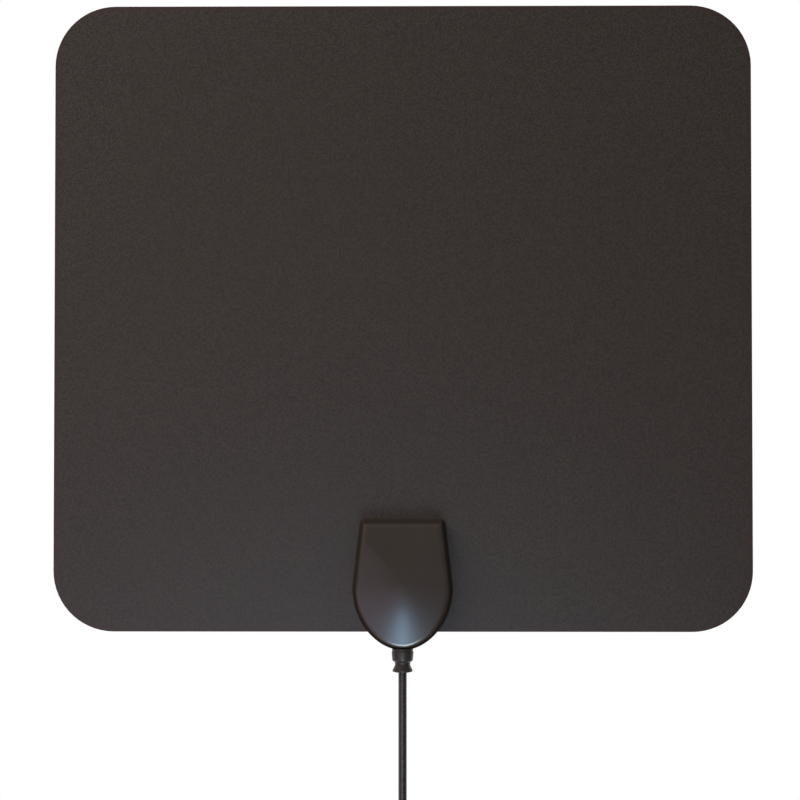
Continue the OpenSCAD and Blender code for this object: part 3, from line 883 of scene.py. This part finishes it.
def coil_strap():
    """The strap's section, a flat oblong with rounded edges, carried round the coil's section."""
    inner = STRAP_GAP + STRAP_T / 2
    _, _, girth = section_path(inner, np.zeros(1))
    s = np.linspace(0, girth + STRAP_LAP, STRAP_STEPS)
    point, out, _ = section_path(inner, s)
    lift = (STRAP_T + LAP_GAP) * smoothstep((s - girth + LAP_RISE) / LAP_RISE)
    thin = np.ones_like(s)
    thin[0] = thin[-1] = STRAP_END
    # The strap's own outline, across by thickness, is a superellipse
    turn = np.linspace(0, 2 * np.pi, STRAP_SIDES, endpoint=False)
    power = 2 / STRAP_FULLNESS
    across = TIE_W / 2 * np.sign(np.cos(turn)) * np.abs(np.cos(turn)) ** power
    thick = STRAP_T / 2 * np.sign(np.sin(turn)) * np.abs(np.sin(turn)) ** power
    radial, depth = (
        point[:, None, k] + (lift[:, None] + thin[:, None] * thick[None, :]) * out[:, None, k]
        for k in (0, 1)
    )
    side = across[None, :] * np.ones_like(thin)[:, None]
    a = np.radians(TIE_ANGLE)
    r = COIL_TURN_R + radial
    x = COIL_CENTRE[0] + r * np.cos(a) - side * np.sin(a)
    z = COIL_CENTRE[2] + r * np.sin(a) + side * np.cos(a)
    points = np.stack([x, COIL_CENTRE[1] + depth, z], -1).reshape(-1, 3)
    uv = np.stack(np.broadcast_arrays(s[:, None], across[None, :]), -1).reshape(-1, 2)
    return points, grid_faces(len(s), len(turn)), uv


strap_points, strap_faces, strap_map = coil_strap()
strap = new_piece(
    "coil_strap", strap_points, strap_faces, tape, "tie_fabric", ["coil_tie"], uv=strap_map
)

# Plug: overmoulded grip with finger grooves, nickelled shell, insulator and centre pin
GRIP_PROFILE = [
    (0, 0, 0),
    (2.8, 0, 0.3),
    (3.1, -0.5, 0.1),
    (3.6, -6, 0.8),
    (5.3, -8.5, 0.7),
    (5.9, -9.9, 0.5),
    (5.9, -24, 0.9),
    (4.6, -24, 0.1),
    (4.55, -21.2, 0),
    (0, -21.2, 0),
]
GROOVES = 5
GROOVE_FIRST = -11.9
GROOVE_PITCH = 2
GROOVE_HALF_W = 0.6
GROOVE_DEEP = 0.45
# Only the wide body is grooved, and the neck above it is thinner than this
GROOVED_ABOVE_R = 5.2
GRIP_STEP = 0.12


def grooved_grip():
    """The grip's profile, drawn in fine steps, with round grooves sunk into its body: each lowers
    the radius by a bell, the square of a cosine, over its own width."""
    rough_line = filleted(GRIP_PROFILE)
    gaps = np.linalg.norm(np.diff(rough_line, axis=0), axis=1)
    keep = np.concatenate([[True], gaps > 1e-6])
    line = rough_line[keep]
    reach = np.concatenate([[0], np.cumsum(np.linalg.norm(np.diff(line, axis=0), axis=1))])
    s = np.unique(np.concatenate([reach, np.arange(0, reach[-1], GRIP_STEP)]))
    r = np.interp(s, reach, line[:, 0])
    z = np.interp(s, reach, line[:, 1])
    place = (GROOVE_FIRST - z) / GROOVE_PITCH
    nearest = np.clip(np.round(place), 0, GROOVES - 1)
    off = np.clip(np.abs(place - nearest) * GROOVE_PITCH / GROOVE_HALF_W, 0, 1)
    sunk = r - GROOVE_DEEP * np.cos(off * np.pi / 2) ** 2
    r = np.where(r > GROOVED_ABOVE_R, sunk, r)
    return np.stack([r, z], 1)


SHELL_PROFILE = [
    (4.55, -21, 0),
    (4.55, -24.5, 0.05),
    (4.75, -24.55, 0.05),
    (4.75, -33, 0.25),
    (4.25, -33, 0.2),
    (4.25, -21, 0),
]
INSULATOR_PROFILE = [
    (1.2, -21, 0),
    (4.24, -21, 0),
    (4.24, -26, 0.25),
    (2.2, -26, 0.1),
    (2.0, -25.4, 0.1),
    (1.2, -25.4, 0),
]
PIN_PROFILE = [
    (0, -20.2, 0),
    (1.18, -20.2, 0),
    (1.18, -31.9, 0.5),
    (0.45, -32.5, 0.2),
    (0, -32.5, 0),
]
PIN_SIDES = 48

grip = new_piece(
    "moulded_grip", *spun(grooved_grip(), PLUG_PLACE), boot_pvc, "boot_rubber", ["plug_grip"]
)
shell = new_piece(
    "nickelled_shell",
    *spun(filleted(SHELL_PROFILE), PLUG_PLACE, closed=True),
    nickel,
    "nickel",
    ["plug_shell"],
)
insulator = new_piece(
    "plug_insulator_disc",
    *spun(filleted(INSULATOR_PROFILE), PLUG_PLACE, closed=True),
    polyethylene,
    "dielectric",
    ["plug_insulator"],
)
pin = new_piece(
    "centre_pin", *spun(filleted(PIN_PROFILE), PLUG_PLACE, PIN_SIDES), nickel, "nickel", ["plug_pin"]
)

# Housing

END_H = CASE_BELLY_Z + CASE_DROP
SIDE_LEAN = np.arctan((CASE_W - CASE_TOP_W) / 2 / (CASE_TOP_Z - CASE_BELLY_Z))
SHOULDER = np.arctan(np.tan(SIDE_LEAN) * END_H / (CASE_W / 2))
FLAT_TOP_H = 8
FALL_START_Z = CASE_TOP_Z - FLAT_TOP_H
CROWN_POWER = 1.5
SINK_POWER = 1.2
END_STEPS = 200
SIDE_STEPS = 24
CORNER_STEPS = 10
TOP_STEPS = 30
SMALLEST_CORNER_R = 0.4
# The edge is a curve that starts so far down the wall and ends so far in over the face
EDGE_DEEP = 1.5
EDGE_IN = 2.5
EDGE_RINGS = 14
FACE_RINGS = 40
COVER_SHARP_ANGLE = 28
# Faces whose normal points less than this to the front belong to the walls, which get the coarse finish
# and its painted shade
SHADED_WALL_LIMIT = 0.82
# Below the panel's lower edge the rim reaches back to the rear cover
BELOW_PANEL_Z = -0.1


def case_outline(inset):
    """The housing's outline pulled in by inset, anticlockwise from the upper left: a superellipse
    for the rounded end, straight leaning sides, and round top corners. One row of (x, z) points."""
    t = (np.pi / 2 + SHOULDER) * np.linspace(-1, 1, END_STEPS)
    power = 2 / CASE_FULLNESS
    end = np.stack(
        [
            (CASE_W / 2 - inset) * np.sign(np.sin(t)) * np.abs(np.sin(t)) ** power,
            CASE_BELLY_Z - (END_H - inset) * np.sign(np.cos(t)) * np.abs(np.cos(t)) ** power,
        ],
        1,
    )
    r = max(CASE_CORNER_R - inset, SMALLEST_CORNER_R)
    u = np.linspace(SIDE_LEAN, np.pi / 2, CORNER_STEPS)
    corner = np.stack(
        [
            CASE_TOP_W / 2 - inset - r + r * np.cos(u),
            CASE_TOP_Z - inset - r + r * np.sin(u),
        ],
        1,
    )
    share = np.linspace(0, 1, SIDE_STEPS + 1, endpoint=False)[1:, None]
    side = end[-1] + share * (corner[0] - end[-1])
    half = np.linspace(0, 1, TOP_STEPS + 1, endpoint=False)[1:, None]
    top = corner[-1] + half * (corner[-1] * (-1, 1) - corner[-1])
    mirrored = [part[::-1] * (-1, 1) for part in (corner, side)]
    return np.concatenate([end, side, corner, top, *mirrored])


OUTLINE_Z = case_outline(0)[:, 1]
FALL = np.clip((FALL_START_Z - OUTLINE_Z) / (FALL_START_Z + CASE_DROP), 0, None)
RIM_SINK = RIM_DROP * FALL**SINK_POWER
REACH = np.hypot(case_outline(0)[:, 0], OUTLINE_Z - CROWN_Z)
RIM_DEPTH = np.where(OUTLINE_Z < BELOW_PANEL_Z, BACK_DEPTH, PANEL_FRONT)


def level_ring(inset, depth):
    """A ring of the wall, at that depth in front of the wall plane."""
    outline = case_outline(inset)
    return np.stack([outline[:, 0], -depth + 0 * outline[:, 0], outline[:, 1]], 1)


def face_ring(share, inset, under):
    """A ring of the front face: the outline drawn in to that share round the crown, sunk below the
    crown by the rim's own drop times the share to the power 1.5, and lying so far under the face."""
    outline = case_outline(inset)
    depth = CASE_DEPTH - under - RIM_SINK * share**CROWN_POWER
    return np.stack(
        [share * outline[:, 0], -depth, CROWN_Z + share * (outline[:, 1] - CROWN_Z)], 1
    )


def cover_mesh():
    """The front cover as one closed skin: up the drafted wall, round the edge, in over the crowned
    face to its middle, and the same again one wall thickness inside."""
    shares = np.linspace(1, 0, FACE_RINGS)
    # The edge bends round the corner where wall and face would meet, which is its curve's middle point
    corner = EDGE_IN * CROWN_POWER * RIM_SINK / REACH
    outer = [level_ring(0, RIM_DEPTH)]
    for t in np.linspace(0, 1, EDGE_RINGS):
        under = (1 - t) ** 2 * (corner + EDGE_DEEP) + 2 * t * (1 - t) * corner
        outer.append(face_ring(1, WALL_DRAFT + EDGE_IN * t**2, under))
    outer += [face_ring(s, WALL_DRAFT + EDGE_IN, 0) for s in shares[1:]]
    inner = [face_ring(s, WALL_DRAFT + WALL_T, WALL_T) for s in shares[::-1]]
    inner += [level_ring(WALL_T, RIM_DEPTH)]
    n = len(OUTLINE_Z)
    skin = [(np.concatenate(rings), grid_faces(len(rings), n)) for rings in (outer, inner)]
    rim = np.concatenate([inner[-1], outer[0]])
    return join_grids(*skin, (rim, grid_faces(2, n)))


def cut(piece, points, faces, sharp_angle):
    """Takes a closed tool away from a piece, and shades the result again."""
    mesh = bpy.data.meshes.new("tool")
    mesh.from_pydata((points * MM).tolist(), [], faces.tolist())
    finish_mesh(mesh, sharp_angle)
    tool = bpy.data.objects.new("tool", mesh)
    scene.collection.objects.link(tool)
    change = piece.modifiers.new("cut", "BOOLEAN")
    change.operation = "DIFFERENCE"
    change.solver = "EXACT"
    change.object = tool
    bpy.context.view_layer.update()
    seen = piece.evaluated_get(bpy.context.evaluated_depsgraph_get())
    made = bpy.data.meshes.new_from_object(seen)
    piece.modifiers.clear()
    piece.data = made
    bpy.data.objects.remove(tool)
    made.polygons.foreach_set("use_smooth", np.ones(len(made.polygons), bool))
    made.set_sharp_from_angle(angle=radians(sharp_angle))


def shade_and_coarsen_walls(mesh, steepest):
    """Gives the second finish, coarse and darkened with painted shade, to the faces whose normal points
    less than steepest to the front.
    """
    normals = np.empty(3 * len(mesh.polygons))
    mesh.polygons.foreach_get("normal", normals)
    mesh.polygons.foreach_set("material_index", (normals[1::3] > -steepest).astype(np.int32))


cover = new_piece(
    "front_cover_moulding", *cover_mesh(), case_plastic, "case_plastic", ["front_cover"]
)
# The walls' finish is darker by painted shade
cover.data.materials.append(shaded_wall_abs)
# The gland's hole: the boot's neck passes through its upper part, and its body sits in the lower
GLAND = [(0, -2.5, 0), (3, -2.5, 0), (3, -7.6, 0), (5.08, -7.6, 0), (5.08, -14, 0), (0, -14, 0)]
cut(cover, *spun(filleted(GLAND), (0, -CABLE_DEPTH, 0)), COVER_SHARP_ANGLE)
# The steep faces of the walls and the outer edge take the darker finish, which is painted shade
shade_and_coarsen_walls(cover.data, SHADED_WALL_LIMIT)

# Strain relief: a soft overmoulded boot with a waist and a flare, and a flange inside the covers
BOOT_PROFILE = [
    (2, -3, 0),
    (3.8, -3, 0.2),
    (3.8, -4.8, 0.2),
    (2.9, -4.8, 0.1),
    (2.9, -7.6, 0.1),
    (5, -7.6, 0.15),
    (5, -9.1, 0.05),
    (5.25, -9.2, 0.1),
    (4.9, -13.3, 0.3),
    (3.7, -14.2, 0.3),
    (3.6, -15.5, 0.5),
    (4.8, -17.9, 0.3),
    (4.75, -18.6, 0.3),
    (2.0, -19.3, 0.15),
]
new_piece(
    "cable_boot",
    *spun(filleted(BOOT_PROFILE), (0, -CABLE_DEPTH, 0), closed=True),
    boot_pvc,
    "boot_rubber",
    ["strain_relief"],
)

# Finishes of the pieces that keep their CAD shape
NODE_FINISHES = {
    "front_film": film,
    "back_film": film,
    "left_element": foil,
    "right_element": foil,
    "back_cover": case_plastic,
    "cover_screws": screw_steel,
    "circuit_board": board,
    "foil_eyelets": brass,
    "transformer_core": ferrite,
    "primary_winding": copper,
    "secondary_winding": copper,
    "chip_capacitors": chip_ceramic,
    "solder_joints": solder,
    "cable_end": jacket,
    "cable_core": polyethylene,
    "centre_conductor": copper,
    "braid_tail": copper,
}
for name, finish in NODE_FINISHES.items():
    nodes[name].data.materials.clear()
    nodes[name].data.materials.append(finish)

# Studio: white surroundings, a small pale floor well below, and soft lamps

# Light that the surroundings give to matt surfaces, more of it from above
FILL_BELOW = 0.17
FILL_ABOVE = 0.76
# The room in front of the object as gloss shows it: its level on the left, and then the shares of
# that on the right and at the sides
ROOM_LEVEL = 2.0
ROOM_RIGHT = 0.03
ROOM_SIDES = 0.15
# Each part fades into the next between two values of the view direction's X, Y or Z
FILL_FADE = (-0.3, 0.3)
LEFT_FADE = (-0.6, 0.12)
FRONT_FADE = (-0.95, -0.65)
ROOM_FLOOR_FADE = (-0.18, -0.1)
WARM_FADE = (-0.05, 0.25)
SWEEP_FADE = (0.05, 0.5)


def studio_world():
    """White to the camera and to mirrors and glass, and a dimmer neutral light to everything else."""
    world = bpy.data.worlds.new("studio")
    world.use_nodes = True
    tree = world.node_tree
    tree.nodes.clear()
    path = add(tree, "ShaderNodeLightPath")
    direct = add(
        tree,
        "ShaderNodeMath",
        {0: path.outputs["Is Camera Ray"], 1: path.outputs["Is Transmission Ray"]},
        operation="MAXIMUM",
    )
    shown = add(
        tree,
        "ShaderNodeMath",
        {0: direct.outputs[0], 1: path.outputs["Is Glossy Ray"]},
        operation="MAXIMUM",
    )
    # In front of the object is a room: lighter on the left, a pale violet floor, a dim horizon and
    # warmer light above it
    way = add(tree, "ShaderNodeTexCoord").outputs["Generated"]
    axes = add(tree, "ShaderNodeSeparateXYZ", {0: way})
    side = add(
        tree,
        "ShaderNodeMapRange",
        {
            0: axes.outputs["X"],
            1: LEFT_FADE[0],
            2: LEFT_FADE[1],
            3: ROOM_LEVEL,
            4: ROOM_LEVEL * ROOM_RIGHT,
        },
    )
    ahead = add(
        tree,
        "ShaderNodeMapRange",
        {0: axes.outputs["Y"], 1: FRONT_FADE[0], 2: FRONT_FADE[1], 3: 1.0, 4: ROOM_SIDES},
    )
    level = add(
        tree, "ShaderNodeMath", {0: side.outputs[0], 1: ahead.outputs[0]}, operation="MULTIPLY"
    )
    low = add(
        tree,
        "ShaderNodeMapRange",
        {0: axes.outputs["Z"], 1: ROOM_FLOOR_FADE[0], 2: ROOM_FLOOR_FADE[1], 3: 1.0, 4: 0.0},
    )
    high = add(
        tree,
        "ShaderNodeMapRange",
        {0: axes.outputs["Z"], 1: WARM_FADE[0], 2: WARM_FADE[1], 3: 0.0, 4: 1.0},
    )
    above = add(
        tree,
        "ShaderNodeMix",
        {FACTOR: high.outputs[0], COLOUR_A: linear("6e6862"), COLOUR_B: linear("cdc1b4")},
        data_type="RGBA",
    )
    tint = add(
        tree,
        "ShaderNodeMix",
        {FACTOR: low.outputs[0], COLOUR_A: above.outputs[COLOUR_OUT], COLOUR_B: linear("f2d0fa")},
        data_type="RGBA",
    )
    room = add(
        tree,
        "ShaderNodeVectorMath",
        {0: tint.outputs[COLOUR_OUT], "Scale": level.outputs[0]},
        operation="SCALE",
    )
    # Behind it is the white sweep that the camera sees
    sweep = add(
        tree,
        "ShaderNodeMapRange",
        {0: axes.outputs["Y"], 1: SWEEP_FADE[0], 2: SWEEP_FADE[1], 3: 0.0, 4: 1.0},
    )
    mirrored = add(
        tree,
        "ShaderNodeMix",
        {FACTOR: sweep.outputs[0], COLOUR_A: room.outputs[0], COLOUR_B: linear("ffffff")},
        data_type="RGBA",
    )
    around = add(
        tree,
        "ShaderNodeMix",
        {
            FACTOR: direct.outputs[0],
            COLOUR_A: mirrored.outputs[COLOUR_OUT],
            COLOUR_B: linear("ffffff"),
        },
        data_type="RGBA",
    )
    fill = add(
        tree,
        "ShaderNodeMapRange",
        {0: axes.outputs["Z"], 1: FILL_FADE[0], 2: FILL_FADE[1], 3: FILL_BELOW, 4: FILL_ABOVE},
    )
    light = add(
        tree, "ShaderNodeBackground", {"Color": linear("fffaf5"), "Strength": fill.outputs[0]}
    )
    backdrop = add(
        tree, "ShaderNodeBackground", {"Color": around.outputs[COLOUR_OUT], "Strength": 1.0}
    )
    both = add(
        tree,
        "ShaderNodeMixShader",
        {0: shown.outputs[0], 1: light.outputs[0], 2: backdrop.outputs[0]},
    )
    add(tree, "ShaderNodeOutputWorld", {"Surface": both.outputs[0]})
    scene.world = world


FLOOR_Z = -300
FLOOR_R = 340
FLOOR_T = 6
FLOOR_EDGE_R = 2
FLOOR_SIDES = 96
FLOOR_GLOW = 0.8


def pale_floor():
    """Matt white board: it takes the object's shadow, and the camera sees it nearly white."""
    made, tree = new_material("matt_white_board")
    place = add(tree, "ShaderNodeTexCoord").outputs["Object"]
    fibre = add(
        tree,
        "ShaderNodeTexNoise",
        {"Vector": place, "Scale": grain(1.5), "Detail": 2},
    )
    colour = add(
        tree,
        "ShaderNodeMix",
        {
            FACTOR: fibre.outputs[0],
            COLOUR_A: linear("efefef"),
            COLOUR_B: linear("f6f6f6"),
        },
        data_type="RGBA",
    )
    matt = add(tree, "ShaderNodeBsdfDiffuse", {"Color": colour.outputs[COLOUR_OUT]})
    glow = add(
        tree, "ShaderNodeEmission", {"Color": linear("ffffff"), "Strength": 1.0}
    )
    path = add(tree, "ShaderNodeLightPath")
    share = add(
        tree,
        "ShaderNodeMath",
        {0: path.outputs["Is Camera Ray"], 1: FLOOR_GLOW},
        operation="MULTIPLY",
    )
    both = add(
        tree,
        "ShaderNodeMixShader",
        {0: share.outputs[0], 1: matt.outputs[0], 2: glow.outputs[0]},
    )
    add(tree, "ShaderNodeOutputMaterial", {"Surface": both.outputs[0]})
    return made


def lay_floor():
    """A thin round board whose edge is a small fillet."""
    top_edge, low_edge = (FLOOR_R, 0, FLOOR_EDGE_R), (FLOOR_R, -FLOOR_T, FLOOR_EDGE_R)
    profile = filleted([(0, 0, 0), top_edge, low_edge, (0, -FLOOR_T, 0)])
    points, faces = spun(profile, (0, 0, FLOOR_Z), FLOOR_SIDES)
    mesh = bpy.data.meshes.new("floor")
    mesh.from_pydata((points * MM).tolist(), [], faces.tolist())
    finish_mesh(mesh, SHARP_ANGLE)
    mesh.materials.append(pale_floor())
    floor = bpy.data.objects.new("floor", mesh)
    scene.collection.objects.link(floor)


def soft_lamp(name, place, aim, size, power, colour, matt=True, gloss=True, spread=180):
    """A rectangular soft box at place, in millimetres, that faces the point aim. It can be left out
    of the light on matt surfaces or out of what gloss shows, and a grid narrows its spread."""
    data = bpy.data.lights.new(name, "AREA")
    data.shape = "RECTANGLE"
    data.size, data.size_y = (s * MM for s in size)
    data.energy = power
    data.color = linear(colour)[:3]
    data.spread = radians(spread)
    lamp = bpy.data.objects.new(name, data)
    scene.collection.objects.link(lamp)
    lamp.location = Vector(place) * MM
    lamp.rotation_mode = "QUATERNION"
    lamp.rotation_quaternion = (Vector(aim) - Vector(place)).to_track_quat("-Z", "Y")
    lamp.visible_diffuse = matt
    lamp.visible_glossy = gloss


studio_world()
lay_floor()
HOUSING = (0, -10, 10)
PANEL_MIDDLE = (0, 0, 150)
LEFT_EDGE = (-167, -3, 10)
# Low in front: a narrow box streaks the housing's face and lights its lower edge, and a wide one
# below it gives the lower film a sheen
soft_lamp("low_window", (-10, -841, -309), HOUSING, (70, 170), 0.48, "b0dcff", matt=False)
soft_lamp(
    "low_strip", (-10, -721, -526), LEFT_EDGE, (280, 270), 0.62, "dcf2ff", matt=False, spread=60
)
# The key comes from the upper left, and a fill lights the back
soft_lamp("key", (-1100, -1000, 1200), PANEL_MIDDLE, (1400, 1200), 25, "fff2e6", gloss=False)
soft_lamp("back_fill", (500, 1500, 900), PANEL_MIDDLE, (900, 900), 12, "ffffff")

scene.view_settings.view_transform = "Standard"
